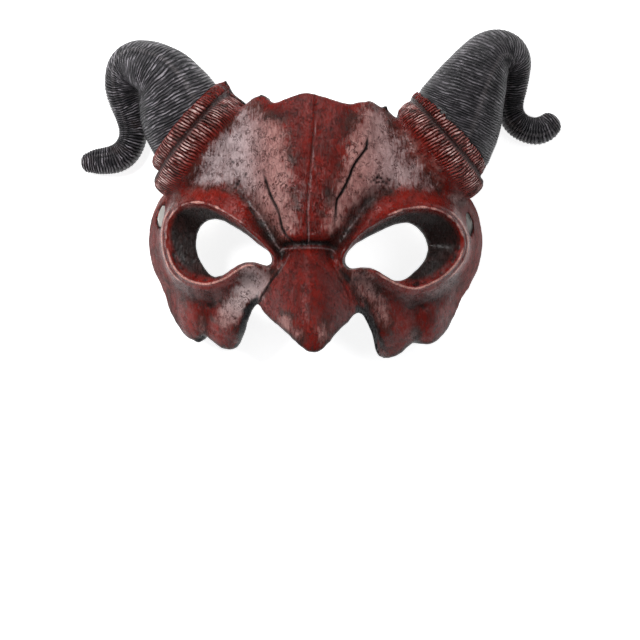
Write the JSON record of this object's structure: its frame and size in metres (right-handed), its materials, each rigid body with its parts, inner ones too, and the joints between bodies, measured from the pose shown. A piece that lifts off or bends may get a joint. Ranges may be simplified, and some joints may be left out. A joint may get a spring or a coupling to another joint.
{
  "type": "devil half mask",
  "caption": "Carnival half mask of soft painted foam: a carved red devil face from brow to cheeks, with ribbed collars, curled black horns and an elastic at the back.",
  "frame": {"origin": "centre of the footprint of the mask and horns, on the surface that the mask lies on", "axes": "+X to the viewer's right across the horns, +Y up the forehead, +Z out of the face"},
  "size_m": [0.297, 0.2, 0.1034],
  "materials": {
    "painted_foam": "satin deep red paint on soft foam, dark wash in the hollows, grey-pink dry brush, black inside",
    "horn_foam": "satin charcoal paint on soft foam, grey dry brush on the ribs",
    "elastic": "off-white knitted flat elastic"
  },
  "bodies": {
    "root": {"half_mask": "painted_foam", "left_horn": "horn_foam", "right_horn": "horn_foam", "elastic_strap": "elastic"}
  },
  "joints": []
}
